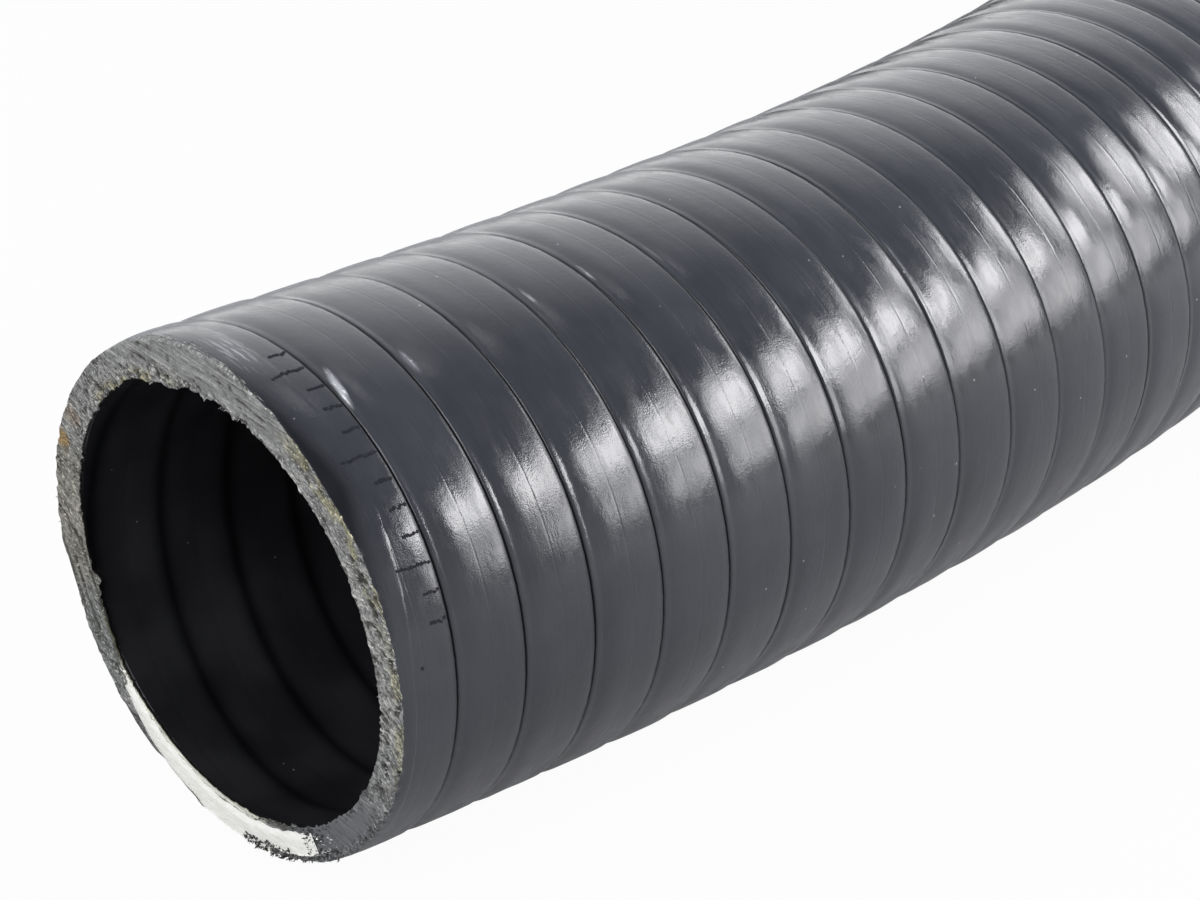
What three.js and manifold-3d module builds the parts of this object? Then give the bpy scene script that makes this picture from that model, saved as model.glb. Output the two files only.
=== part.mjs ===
// A one metre length of flexible waste hose for a caravan or motorhome, sawn off bare at both ends.
// It is wound from three layers: a thin dark liner that makes the bore, a rigid plastic helix
// laid on the liner, and a soft grey cover with one broad rib between each two seams.
// Millimetres, +Z up. The hose lies on the floor at Z 0, in a bend of a quarter turn, and the
// origin is on the floor below the middle of its outline.

import * as THREE from "three";
import { mergeVertices } from "three/addons/utils/BufferGeometryUtils.js";
import Module from "manifold-3d";

// Driving dimensions
const hoseLength = 1000;
const boreDiameter = 76;
const linerWall = 1.0;
const helixHeight = 3.0;
const helixBaseWidth = 3.8;
const helixCrestWidth = 2.8;
const coverOverHelix = 0.75;
const ribHeight = 0.9;
const ribPitch = 13.7;

// Clearance between two layers, depth of the worn flats that the hose lies on, and overrun of cuts
const layerClearance = 0.3;
const floorFlatDepth = 0.5;
const cutOverrun = 8;

// Places across one pitch, from seam to seam
const seamShare = 0.1;
const crownShare = 0.6;
const helixShare = 0.1;

// The route of the centreline over the floor, from the near cut on, as shares of the hose length:
// straight ahead out of the near cut, then round to the left
const routeShares = [
  [0, 0], [0.0625, 0], [0.1248, 0.0045], [0.1866, 0.0139], [0.2472, 0.0289], [0.3061, 0.0498],
  [0.3624, 0.0769], [0.4152, 0.1102], [0.4639, 0.1494], [0.5078, 0.1938], [0.5464, 0.243],
  [0.5791, 0.2962], [0.6055, 0.3528], [0.6255, 0.4119], [0.6389, 0.473], [0.6456, 0.5351],
  [0.6456, 0.5975],
];

// Counts
const pointsRound = 8;
const ribsPerBoreRing = 5;
const spareTurns = 2;
const routeSamples = 4000;

// Sizes that follow from the driving dimensions
const boreRadius = boreDiameter / 2;
const linerRadius = boreRadius + linerWall;
const helixBaseRadius = linerRadius + layerClearance;
const helixCrestRadius = helixBaseRadius + helixHeight;
const grooveRadius = helixCrestRadius + layerClearance;
const seamRadius = grooveRadius + coverOverHelix;
const crownRadius = seamRadius + ribHeight;
const centreHeight = crownRadius - floorFlatDepth;
const turnCount = Math.ceil(hoseLength / ribPitch);

const wasm = await Module();
wasm.setup();

const up = new THREE.Vector3(0, 0, 1);
const route = hoseRoute();

// The centreline as a smooth curve through the route's points, as long as the hose.
function hoseRoute() {
  const asShares = smoothCurve(routeShares.map(([x, y]) => new THREE.Vector3(x, y, 0)));
  const scale = hoseLength / asShares.getLength();
  const points = routeShares.map(([x, y]) => new THREE.Vector3(x * scale, y * scale, centreHeight));
  return smoothCurve(points);
}

function smoothCurve(points) {
  const curve = new THREE.CatmullRomCurve3(points, false, "catmullrom", 0.5);
  curve.arcLengthDivisions = routeSamples;
  return curve;
}

// The centreline's place and directions at a distance along the hose. Past the ends it runs straight on.
function frameAt(along) {
  const within = THREE.MathUtils.clamp(along, 0, hoseLength);
  const ahead = route.getTangentAt(within / hoseLength);
  const centre = route.getPointAt(within / hoseLength).addScaledVector(ahead, along - within);
  const left = new THREE.Vector3().crossVectors(up, ahead);
  return { centre, ahead, left };
}

// A point at a distance along the hose and a radius from its centreline. Steps count round the hose,
// from its lowest line towards its left side.
function pointAt(along, step, radius) {
  const { centre, left } = frameAt(along);
  const angle = (2 * Math.PI * step) / pointsRound;
  return centre
    .addScaledVector(up, -radius * Math.cos(angle))
    .addScaledVector(left, radius * Math.sin(angle));
}

function geometryFrom(points, triangles) {
  const geometry = new THREE.BufferGeometry().setFromPoints(points);
  return geometry.setIndex(triangles);
}

// A solid body whose skin is wound. Its profile is a list of [distance from the seam line, radius]
// within one pitch, and it climbs one pitch in each turn. A fan to the centreline closes each end.
function woundCore(profile) {
  const first = -spareTurns * pointsRound;
  const steps = (turnCount + 2 * spareTurns) * pointsRound;
  const points = [];
  const rows = profile.map(([offset, radius], row) => {
    const start = points.length;
    const count = row === 0 ? steps + pointsRound : steps;
    for (let step = 0; step <= count; step += 1) {
      const along = ((first + step) / pointsRound) * ribPitch + offset;
      points.push(pointAt(along, first + step, radius));
    }
    return start;
  });
  // The row after the last is the first row of the next turn.
  const vertex = (row, step) => (row < rows.length ? rows[row] + step : rows[0] + pointsRound + step);
  const triangles = [];
  for (let row = 0; row < rows.length; row += 1) {
    for (let step = 0; step < steps; step += 1) {
      const corner = vertex(row, step);
      const across = vertex(row + 1, step + 1);
      triangles.push(corner, vertex(row, step + 1), across, corner, across, vertex(row + 1, step));
    }
  }
  const startCentre = points.push(frameAt((first / pointsRound) * ribPitch).centre) - 1;
  const endCentre = points.push(frameAt(((first + steps) / pointsRound + 1) * ribPitch).centre) - 1;
  for (let step = 0; step < pointsRound; step += 1) {
    triangles.push(startCentre, vertex(0, step + 1), vertex(0, step));
    triangles.push(endCentre, vertex(0, steps + step), vertex(0, steps + step + 1));
  }
  for (let row = 0; row < rows.length; row += 1) {
    triangles.push(startCentre, vertex(row, 0), vertex(row + 1, 0));
    triangles.push(endCentre, vertex(row + 1, steps), vertex(row, steps));
  }
  return geometryFrom(points, triangles);
}

// A bar wound round the hose. Its section is a closed list of corners, each a
// [distance from the seam line, radius].
function woundBar(section) {
  const first = -spareTurns * pointsRound;
  const steps = (turnCount + 2 * spareTurns) * pointsRound;
  const points = [];
  for (let step = 0; step <= steps; step += 1) {
    for (const [offset, radius] of section) {
      const along = ((first + step) / pointsRound) * ribPitch + offset;
      points.push(pointAt(along, first + step, radius));
    }
  }
  const corners = section.length;
  const triangles = [];
  for (let step = 0; step < steps; step += 1) {
    for (let corner = 0; corner < corners; corner += 1) {
      const here = step * corners + corner;
      const beside = step * corners + ((corner + 1) % corners);
      triangles.push(here, beside, beside + corners, here, beside + corners, here + corners);
    }
  }
  const last = steps * corners;
  for (let corner = 1; corner < corners - 1; corner += 1) {
    triangles.push(0, corner + 1, corner);
    triangles.push(last, last + corner, last + corner + 1);
  }
  return geometryFrom(points, triangles);
}

// A plain round core, with a ring at each multiple of the spacing, that runs on past both cuts.
function ringedCore(radius, spacing) {
  const spans = Math.ceil(hoseLength / spacing);
  const stations = [-cutOverrun];
  for (let span = 0; span <= spans; span += 1) stations.push((span / spans) * hoseLength);
  stations.push(hoseLength + cutOverrun);
  const points = [];
  for (const along of stations) {
    for (let step = 0; step < pointsRound; step += 1) points.push(pointAt(along, step, radius));
  }
  const triangles = [];
  for (let ring = 0; ring < stations.length - 1; ring += 1) {
    for (let step = 0; step < pointsRound; step += 1) {
      const here = ring * pointsRound + step;
      const beside = ring * pointsRound + ((step + 1) % pointsRound);
      triangles.push(here, beside, beside + pointsRound, here, beside + pointsRound, here + pointsRound);
    }
  }
  const last = (stations.length - 1) * pointsRound;
  for (let step = 1; step < pointsRound - 1; step += 1) {
    triangles.push(0, step + 1, step);
    triangles.push(last, last + step, last + step + 1);
  }
  return geometryFrom(points, triangles);
}

// A block that takes away everything past one cut, from the given distance along the hose. Side is -1
// before the near cut and 1 after the far cut.
function endCutter(along, side) {
  const long = (2 * spareTurns + 1) * ribPitch;
  const wide = 2 * (crownRadius + cutOverrun);
  const { centre, ahead, left } = frameAt(along);
  const block = new THREE.BoxGeometry(long, wide, wide);
  block.translate((side * long) / 2, 0, 0);
  block.applyMatrix4(new THREE.Matrix4().makeBasis(ahead, left, up).setPosition(centre));
  return block;
}

// A slab under the floor, which leaves a small flat on each rib where the hose lies.
function floorCutter() {
  const slab = new THREE.BoxGeometry(2 * hoseLength, 2 * hoseLength, cutOverrun);
  slab.translate(hoseLength / 2, hoseLength / 2, -cutOverrun / 2);
  return slab;
}

function solidFrom(geometry) {
  const plain = geometry.clone();
  plain.deleteAttribute("normal");
  plain.deleteAttribute("uv");
  const merged = mergeVertices(plain);
  return new wasm.Manifold(
    new wasm.Mesh({
      numProp: 3,
      vertProperties: new Float32Array(merged.attributes.position.array),
      triVerts: new Uint32Array(merged.index.array),
    }),
  );
}

function meshFrom(name, solid, material) {
  const cut = solid.getMesh();
  const geometry = new THREE.BufferGeometry();
  geometry.setAttribute("position", new THREE.BufferAttribute(cut.vertProperties, 3));
  geometry.setIndex(new THREE.BufferAttribute(cut.triVerts, 1));
  geometry.computeVertexNormals();
  const mesh = new THREE.Mesh(geometry, material);
  mesh.name = name;
  return mesh;
}

function sawnOff(solid) {
  return solid
    .subtract(solidFrom(endCutter(0, -1)))
    .subtract(solidFrom(endCutter(hoseLength, 1)));
}

// A plain plastic finish, shaded facet by facet.
function plastic(color, roughness) {
  return new THREE.MeshStandardMaterial({ color, roughness, metalness: 0, flatShading: true });
}

// The corners of the helix's section, widened all round by the given margin at its sides and crest.
function helixSection(margin) {
  const middle = helixShare * ribPitch;
  return [
    [middle - helixBaseWidth / 2 - margin, helixBaseRadius],
    [middle - helixCrestWidth / 2 - margin, helixCrestRadius + margin],
    [middle + helixCrestWidth / 2 + margin, helixCrestRadius + margin],
    [middle + helixBaseWidth / 2 + margin, helixBaseRadius],
  ];
}

// The soft grey cover: ribs outside, and inside a plain wall with the groove that the helix lies in.
function makeCover() {
  const ribs = [
    [seamShare * ribPitch, seamRadius],
    [crownShare * ribPitch, crownRadius],
  ];
  const outside = solidFrom(woundCore(ribs));
  const inside = solidFrom(woundCore(helixSection(layerClearance)));
  const hollow = sawnOff(outside.subtract(inside));
  return meshFrom("cover", hollow.subtract(solidFrom(floorCutter())), plastic(0x4c4f54, 0.35));
}

// The rigid white plastic helix that keeps the hose round.
function makeRigidHelix() {
  const section = helixSection(0).reverse();
  return meshFrom("rigid_helix", sawnOff(solidFrom(woundBar(section))), plastic(0xe4e2d8, 0.45));
}

// The dark liner: a ring at each rib outside, and a smooth bore with a ring every few ribs.
function makeInnerLiner() {
  const outside = solidFrom(ringedCore(linerRadius, ribPitch));
  const bore = solidFrom(ringedCore(boreRadius, ribsPerBoreRing * ribPitch));
  return meshFrom("inner_liner", sawnOff(outside.subtract(bore)), plastic(0x131315, 0.5));
}

// The least distance between one turn of the helix and the next, measured between the section's corners.
function leastHelixGap() {
  const section = helixSection(0);
  let least = Infinity;
  for (let step = 0; step < (turnCount - 1) * pointsRound; step += 1) {
    for (const [offset, radius] of section) {
      const here = pointAt((step / pointsRound) * ribPitch + offset, step, radius);
      for (const [nextOffset, nextRadius] of section) {
        const nextAlong = (step / pointsRound + 1) * ribPitch + nextOffset;
        least = Math.min(least, here.distanceTo(pointAt(nextAlong, step, nextRadius)));
      }
    }
  }
  return least;
}

// The tightest radius that the centreline bends to, measured over one diameter at a time.
function tightestBend() {
  const span = 2 * crownRadius;
  let tightest = Infinity;
  for (let along = 0; along + span <= hoseLength; along += ribPitch) {
    const turn = frameAt(along).ahead.angleTo(frameAt(along + span).ahead);
    tightest = Math.min(tightest, span / turn);
  }
  return tightest;
}

const hose = new THREE.Group();
hose.add(makeCover(), makeRigidHelix(), makeInnerLiner());
const middle = new THREE.Box3().setFromObject(hose).getCenter(new THREE.Vector3());
hose.position.set(-middle.x, -middle.y, 0);

console.log(`outside diameter ${(2 * crownRadius).toFixed(1)} mm, ${turnCount} ribs`);
console.log(`centreline ${route.getLength().toFixed(1)} mm`);
console.log(`least gap between turns of the helix ${leastHelixGap().toFixed(2)} mm`);
console.log(`tightest bend of the centreline ${tightestBend().toFixed(0)} mm radius`);

export default hose;
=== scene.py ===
# A bare length of flexible waste hose on a white studio floor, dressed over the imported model.
# Metres. The hose's route and sizes repeat the values of the part's source.

import math

import bpy
import numpy as np
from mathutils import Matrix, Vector


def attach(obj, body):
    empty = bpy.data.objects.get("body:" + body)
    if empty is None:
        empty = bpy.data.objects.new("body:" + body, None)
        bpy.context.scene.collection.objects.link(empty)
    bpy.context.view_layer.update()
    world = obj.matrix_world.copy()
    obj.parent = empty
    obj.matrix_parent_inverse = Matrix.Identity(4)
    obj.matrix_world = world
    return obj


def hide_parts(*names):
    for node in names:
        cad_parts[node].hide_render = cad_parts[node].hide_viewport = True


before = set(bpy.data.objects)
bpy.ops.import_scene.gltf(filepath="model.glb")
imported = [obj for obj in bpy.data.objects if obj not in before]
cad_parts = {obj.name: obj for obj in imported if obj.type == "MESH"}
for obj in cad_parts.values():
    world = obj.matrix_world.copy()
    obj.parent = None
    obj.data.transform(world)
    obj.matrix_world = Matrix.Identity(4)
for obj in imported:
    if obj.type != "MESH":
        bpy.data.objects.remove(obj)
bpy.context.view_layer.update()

MM = 0.001

# The camera comes first. It stands where the camera fit put the photograph's.
camera = bpy.data.objects.new("camera", bpy.data.cameras.new("camera"))
bpy.context.scene.collection.objects.link(camera)
camera.data.lens = 120.236
camera.data.sensor_width = 36
camera.data.sensor_fit = "HORIZONTAL"
camera.data.clip_start = 0.05
camera.location = (-0.67445, -0.73164, 0.32964)
camera.rotation_euler = Vector((0.60586, 0.67493, -0.42118)).to_track_quat("-Z", "Y").to_euler()
bpy.context.scene.camera = camera
bpy.context.scene.view_settings.view_transform = "Standard"

# Sizes
LENGTH = 1.0
PITCH = 13.7 * MM
BORE_R = 38 * MM
LINER_R = 39 * MM
SEAM_R = 43.35 * MM
CROWN_R = 44.25 * MM
CENTRE_Z = 43.75 * MM
START = np.array([-0.3451819, -0.2764866])
ROUTE = [
    (0, 0), (0.0625, 0), (0.1248, 0.0045), (0.1866, 0.0139), (0.2472, 0.0289), (0.3061, 0.0498),
    (0.3624, 0.0769), (0.4152, 0.1102), (0.4639, 0.1494), (0.5078, 0.1938), (0.5464, 0.243),
    (0.5791, 0.2962), (0.6055, 0.3528), (0.6255, 0.4119), (0.6389, 0.473), (0.6456, 0.5351),
    (0.6456, 0.5975),
]


def hermite(u, start, start_slope, end, end_slope):
    """A smooth curve from one value to another with the given slopes, for u from 0 to 1."""
    return (
        (2 * u**3 - 3 * u**2 + 1) * start
        + (u**3 - 2 * u**2 + u) * start_slope
        + (3 * u**2 - 2 * u**3) * end
        + (u**3 - u**2) * end_slope
    )


def smooth_route(points, steps=256):
    """Places and headings along a smooth curve through the points."""
    p = np.array(points, float)
    p = np.vstack([2 * p[0] - p[1], p, 2 * p[-1] - p[-2]])
    u = np.arange(steps)[:, None] / steps
    places, headings = [], []
    for a, b, c, d in zip(p[:-3], p[1:-2], p[2:-1], p[3:]):
        m, n = (c - a) / 2, (d - b) / 2
        places.append(hermite(u, b, m, c, n))
        headings.append(
            (6 * u**2 - 6 * u) * (b - c) + (3 * u**2 - 4 * u + 1) * m + (3 * u**2 - 2 * u) * n
        )
    places.append(p[-2:-1])
    headings.append(headings[-1][-1:])
    return np.vstack(places), np.vstack(headings)


route, headings = smooth_route(ROUTE)
route_along = np.concatenate([[0], np.cumsum(np.linalg.norm(np.diff(route, axis=0), axis=1))])
route = route * (LENGTH / route_along[-1]) + START
route_along = route_along * (LENGTH / route_along[-1])


def as_floats(*values):
    return np.broadcast_arrays(*(np.asarray(value, float) for value in values))


def place(along, turn, radius):
    """Points at a distance along the hose, a turn (0 at the floor, 0.5 on top) and a radius."""
    along, turn, radius = as_floats(along, turn, radius)
    within = np.clip(along, 0, LENGTH)
    x, y = (np.interp(within, route_along, route[:, k]) for k in (0, 1))
    hx, hy = (np.interp(within, route_along, headings[:, k]) for k in (0, 1))
    size = np.hypot(hx, hy)
    hx, hy = hx / size, hy / size
    # Past its ends the hose runs on straight
    past = along - within
    side = radius * np.sin(2 * np.pi * turn)
    return np.stack(
        [
            x + hx * past - hy * side,
            y + hy * past + hx * side,
            np.maximum(CENTRE_Z - radius * np.cos(2 * np.pi * turn), 0),
        ],
        axis=-1,
    )


NOISE_CELLS = 256


def smooth(t):
    """Eases a share that runs from 0 to 1."""
    return t * t * (3 - 2 * t)


def noise(x, y, seed):
    """Smooth noise from 0 to 1 over a plane, about one bump to a unit."""
    grid = np.random.default_rng(seed).random((NOISE_CELLS, NOISE_CELLS))
    x, y = as_floats(x, y)
    i, j = np.floor(x).astype(int), np.floor(y).astype(int)
    u, v = smooth(x - i), smooth(y - j)
    i, j, k, m = (cell % NOISE_CELLS for cell in (i, j, i + 1, j + 1))
    low = grid[i, j] * (1 - u) + grid[k, j] * u
    high = grid[i, m] * (1 - u) + grid[k, m] * u
    return low * (1 - v) + high * v


def round_noise(turn, count, seed):
    """Noise round the turn that meets itself, with the given count of bumps."""
    t = np.asarray(turn, float) % 1 * count
    i = np.floor(t).astype(int)
    u = smooth(t - i)
    values = np.random.default_rng(seed).random(count)
    return values[i % count] * (1 - u) + values[(i + 1) % count] * u


def round_table(turn, table):
    """A value round the turn, from a list of (turn, value), which meets itself."""
    at = np.array([t for t, _ in table])
    value = np.array([v for _, v in table])
    return np.interp(np.asarray(turn, float) % 1, np.append(at, at[0] + 1), np.append(value, value[0]))


def step(low, high, x):
    """0 at the first limit and 1 at the second, easing between. The limits may be in falling order."""
    return smooth(np.clip((np.asarray(x, float) - low) / (high - low), 0, 1))


def spot(turn, centre, half):
    """1 at a place round the turn, easing to 0 at the given half width."""
    away = np.abs((np.asarray(turn, float) - centre + 0.5) % 1 - 0.5)
    return 1 - step(0, half, away)


def span(turn, low, high, ease):
    """1 between two places round the turn, easing to 0 outside."""
    t = (np.asarray(turn, float) - low + 0.25) % 1 + low - 0.25
    return step(low - ease, low + ease, t) * (1 - step(high - ease, high + ease, t))


# The seam's dark line: how far past the whole turns of the winding it lies, as a share of the pitch
SEAM_SHIFT = 0.085

# One pitch of the skin, from seam to seam: share of the pitch, and mm over the seam's radius
PROFILE = [
    (0.0, -0.25), (0.012, -0.15), (0.022, 0.12), (0.034, 0.30), (0.050, 0.36), (0.090, 0.36),
    (0.110, 0.375), (0.130, 0.42), (0.155, 0.49), (0.20, 0.605), (0.27, 0.745), (0.37, 0.83),
    (0.525, 0.865), (0.545, 0.867), (0.552, 0.85), (0.559, 0.867), (0.58, 0.87), (0.70, 0.885),
    (0.83, 0.87), (0.92, 0.815), (0.962, 0.74), (0.976, 0.65), (0.988, 0.15), (1.0, -0.25),
]


def smooth_table(points, size=4001):
    """A dense table through the points that keeps between each two of them."""
    x, y = np.array(points).T
    d = np.diff(y) / np.diff(x)
    m = np.zeros(len(x))
    same = d[:-1] * d[1:] > 0
    m[1:-1][same] = (2 * d[:-1] * d[1:] / np.where(same, d[:-1] + d[1:], 1))[same]
    at = np.linspace(0, 1, size)
    i = np.clip(np.searchsorted(x, at, side="right") - 1, 0, len(x) - 2)
    h = x[i + 1] - x[i]
    return at, hermite((at - x[i]) / h, y[i], h * m[i], y[i + 1], h * m[i + 1])


profile_at, profile_mm = smooth_table(PROFILE)

# The two sawn ends lean a little: how far along the rim goes for its radius, at the top and at the side
NEAR_LEAN = (-0.0611, 0.0055)
FAR_LEAN = (0.012, -0.02)

# Round the near cut: the radius of the wall's inner edge in mm
NEAR_INNER = [
    (0.0, 37.8), (0.1, 38.0), (0.146, 38.4), (0.17, 37.3), (0.2, 37.0), (0.25, 37.6), (0.31, 38.3),
    (0.42, 38.0), (0.44, 37.1), (0.46, 36.5), (0.48, 36.8), (0.5, 36.7), (0.56, 36.5), (0.63, 36.8),
    (0.66, 37.2), (0.72, 37.6), (0.75, 38.3), (0.79, 38.9), (0.83, 38.7), (0.88, 38.3),
    (0.96, 37.8),
]
# How far the saw pushed the rim out or in, in mm, and how far along the hose that reaches
NEAR_PUSH = [
    (0.0, 0.0), (0.1, -0.1), (0.17, -0.3), (0.2, -0.9), (0.225, -0.3), (0.26, 0.1), (0.4, 0.0),
    (0.46, 0.1), (0.52, -0.2), (0.58, -0.8), (0.625, -1.5), (0.66, -0.8), (0.72, -0.4), (0.78, 0.1),
    (0.82, 0.3), (0.9, 0.0),
]
PUSH_REACH = 6
# How deep the skin is bevelled at the rim, in mm, and how far along the hose that reaches
NEAR_BEVEL = [
    (0.0, 0.2), (0.3, 0.2), (0.38, 0.5), (0.44, 0.8), (0.5, 0.9), (0.56, 0.7), (0.6, 0.5),
    (0.64, 0.3), (0.75, 0.2),
]
BEVEL_REACH = 5
FAR_BEVEL_REACH = 3


def cut_plane(turn, radius, lean):
    up, side = lean
    a = 2 * np.pi * (np.asarray(turn, float) - 0.5)
    return radius * (up * np.cos(a) + side * np.sin(a))


def near_cut(turn, radius):
    """Where along the hose the near cut lies."""
    return cut_plane(turn, radius, NEAR_LEAN)


def far_cut(turn, radius):
    return LENGTH + cut_plane(turn, radius, FAR_LEAN)


# How uneven the winding is: the ribs' height, as a share, and in mm the waves on their backs and beads
UNEVEN_RIB = 0.16
UNEVEN_BACK = 0.12
UNEVEN_BEAD = 0.16


def skin_radius(along, turn):
    """The skin's radius, with its ribs, their small unevenness and the dragged rims of the two ends."""
    along, turn = as_floats(along, turn)
    wound = along / PITCH - turn - SEAM_SHIFT
    x = wound - np.floor(wound)
    lap = np.floor(wound) + turn
    mm = np.interp(x, profile_at, profile_mm)
    on_back = step(0.1, 0.3, x)
    on_bead = (1 - step(0.05, 0.1, x)) * step(0.012, 0.03, x)
    mm = mm + UNEVEN_RIB * np.clip(mm, 0, None) * (noise(lap * 3.1, 3 + x * 1.5, 11) - 0.5)
    mm = mm + UNEVEN_BACK * (noise(lap * 7.3, 40 + x * 3.0, 12) - 0.5) * on_back
    mm = mm + UNEVEN_BEAD * (noise(lap * 11.0, 90, 13) - 0.5) * on_bead
    near = np.clip((along - near_cut(turn, SEAM_R)) / MM, 0, None)
    far = np.clip((far_cut(turn, SEAM_R) - along) / MM, 0, None)
    mm = mm + round_table(turn, NEAR_PUSH) * np.exp(-((near / PUSH_REACH) ** 2))
    mm = mm - round_table(turn, NEAR_BEVEL) * np.clip(1 - near / BEVEL_REACH, 0, 1) ** 2
    far_bevel = 0.25 + 0.5 * round_noise(turn, 7, 31)
    mm = mm - far_bevel * np.clip(1 - far / FAR_BEVEL_REACH, 0, 1) ** 2
    return np.minimum(SEAM_R + mm * MM, CROWN_R + 0.1 * MM)


# Round each cut: how far from it the sawn end's own piece of skin runs, in mm
NEAR_COVER = [
    (0.0, 2.4), (0.07, 0.9), (0.25, 0.9), (0.3, 2.2), (0.37, 4.5), (0.42, 7.0), (0.62, 7.0),
    (0.68, 5.0), (0.74, 3.0), (0.9, 2.5),
]
FAR_COVER = [
    (0.0, 1.0), (0.05, 2.5), (0.3, 3.5), (0.6, 3.5), (0.75, 1.2), (0.8, 0.9), (0.98, 0.9),
]


def make(name, points, faces, material, uv=None, **fields):
    """A smooth mesh object. uv holds a pair for each corner of a face, fields a value for each point."""
    mesh = bpy.data.meshes.new(name)
    mesh.from_pydata(points.tolist(), [], [list(f) for f in faces])
    mesh.materials.append(material)
    mesh.polygons.foreach_set("use_smooth", np.ones(len(mesh.polygons), bool))
    if uv is not None:
        layer = mesh.uv_layers.new(name="wound")
        layer.data.foreach_set("uv", np.concatenate([np.asarray(c, float) for c in uv]).ravel())
    for field, values in fields.items():
        values = np.asarray(values, float)
        if values.ndim == 1:
            mesh.attributes.new(field, "FLOAT", "POINT").data.foreach_set("value", values)
        else:
            rgba = np.concatenate([values, np.ones((len(values), 1))], axis=1)
            mesh.attributes.new(field, "FLOAT_COLOR", "POINT").data.foreach_set("color", rgba.ravel())
    mesh.update()
    made = bpy.data.objects.new(name, mesh)
    bpy.context.scene.collection.objects.link(made)
    return made


# Materials
class Nodes:
    """A material's node tree, built in short calls."""

    def __init__(self, name):
        self.material = bpy.data.materials.new(name)
        self.material.use_nodes = True
        self.tree = self.material.node_tree
        self.shader = self.tree.nodes["Principled BSDF"]

    def put(self, node, inputs):
        """Links or sets the node's inputs."""
        for key, value in inputs.items():
            if isinstance(value, bpy.types.NodeSocket):
                self.tree.links.new(value, node.inputs[key])
            else:
                node.inputs[key].default_value = value
        return node

    def add(self, kind, inputs=None, **settings):
        node = self.tree.nodes.new(kind)
        for key, value in settings.items():
            setattr(node, key, value)
        return self.put(node, inputs or {})

    def math(self, operation, a, b=0.0, clamp=False):
        return self.add("ShaderNodeMath", {0: a, 1: b}, operation=operation, use_clamp=clamp).outputs[0]

    def mix(self, factor, a, b):
        return self.add("ShaderNodeMix", {0: factor, 6: a, 7: b}, data_type="RGBA").outputs[2]

    def blend(self, factor, a, b):
        return self.add("ShaderNodeMix", {0: factor, 2: a, 3: b}, data_type="FLOAT").outputs[0]

    def mapped(self, kind, vector, **inputs):
        return self.add("ShaderNodeMapping", {"Vector": vector, **inputs}, vector_type=kind).outputs[0]

    def scaled(self, vector, scale, rotation=(0, 0, 0)):
        return self.mapped("POINT", vector, Scale=scale, Rotation=rotation)

    def drawn(self, vector, sizes, rotation=(0, 0, 0), centre=(0, 0, 0)):
        """Space turned, then measured in the given sizes, for noise that is drawn out along a slant."""
        return self.mapped("TEXTURE", vector, Scale=sizes, Rotation=rotation, Location=centre)

    def in_mm(self):
        """The piece's own space, measured in mm."""
        return self.scaled(self.add("ShaderNodeTexCoord").outputs["Object"], (1 / MM, 1 / MM, 1 / MM))

    def field(self, name, output="Fac"):
        """What the mesh stores at each point under this name."""
        return self.add("ShaderNodeAttribute", attribute_name=name).outputs[output]

    def noise(self, vector, scale, detail=2.0, roughness=0.5, distortion=0.0):
        inputs = {"Vector": vector, "Scale": scale, "Detail": detail}
        inputs.update({"Roughness": roughness, "Distortion": distortion})
        return self.add("ShaderNodeTexNoise", inputs).outputs[0]

    def specks(self, vector, scale, size):
        """Rare round specks, half strong, each as big as this share of its cell."""
        cells = self.add("ShaderNodeTexVoronoi", {"Vector": vector, "Scale": scale}, feature="F1")
        there = self.math("LESS_THAN", cells.outputs["Distance"], size)
        return self.math("MULTIPLY", there, 0.5)

    def multiplied(self, a, b):
        inputs = {0: 1.0, 6: a, 7: b}
        return self.add("ShaderNodeMix", inputs, data_type="RGBA", blend_type="MULTIPLY").outputs[2]

    def ease(self, value, low, high, to_low=0.0, to_high=1.0):
        inputs = {0: value, 1: low, 2: high, 3: to_low, 4: to_high}
        return self.add("ShaderNodeMapRange", inputs, interpolation_type="SMOOTHSTEP").outputs[0]

    def ramp(self, value, stops):
        node = self.add("ShaderNodeValToRGB", {0: value})
        marks = node.color_ramp.elements
        while len(marks) < len(stops):
            marks.new(0.5)
        for mark, (at, colour) in zip(marks, stops):
            mark.position = at
            mark.color = (*colour, 1)
        return node.outputs[0]

    def bump(self, height, distance, normal=None, strength=1.0):
        inputs = {"Height": height, "Distance": distance, "Strength": strength}
        if normal is not None:
            inputs["Normal"] = normal
        return self.add("ShaderNodeBump", inputs).outputs[0]

    def finish(self, **sockets):
        self.put(self.shader, {key.replace("_", " "): value for key, value in sockets.items()})
        return self.material


# Once round the skin, in mm
ROUND = 272


def wound_lines(n, across, around):
    """Noise drawn out along the winding: across and around are its sizes in mm."""
    uv = n.add("ShaderNodeUVMap", uv_map="wound").outputs[0]
    return n.scaled(uv, (PITCH / MM / across, ROUND / around, 1))


# Painted highlights: glint streaks painted pale into the skin's colour, a large one on the second turn, and
# small ones beside the seams near the top.
# mm along the hose, turn, lean in mm for a hundredth of a turn, sizes in mm, strength
PAINTED_GLINTS = [
    (10.4, 0.567, -0.3, (0.9, 5.4, 2.0), 1.0),
    (24.4, 0.566, 0.1, (0.9, 3.4, 2.0), 0.22),
    (51.8, 0.549, 0.14, (0.5, 3.4, 1.5), 0.22),
    (64.6, 0.546, 0.14, (0.5, 3.0, 1.5), 0.22),
    (78.5, 0.549, 0.14, (0.4, 3.4, 1.5), 0.12),
]


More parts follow.
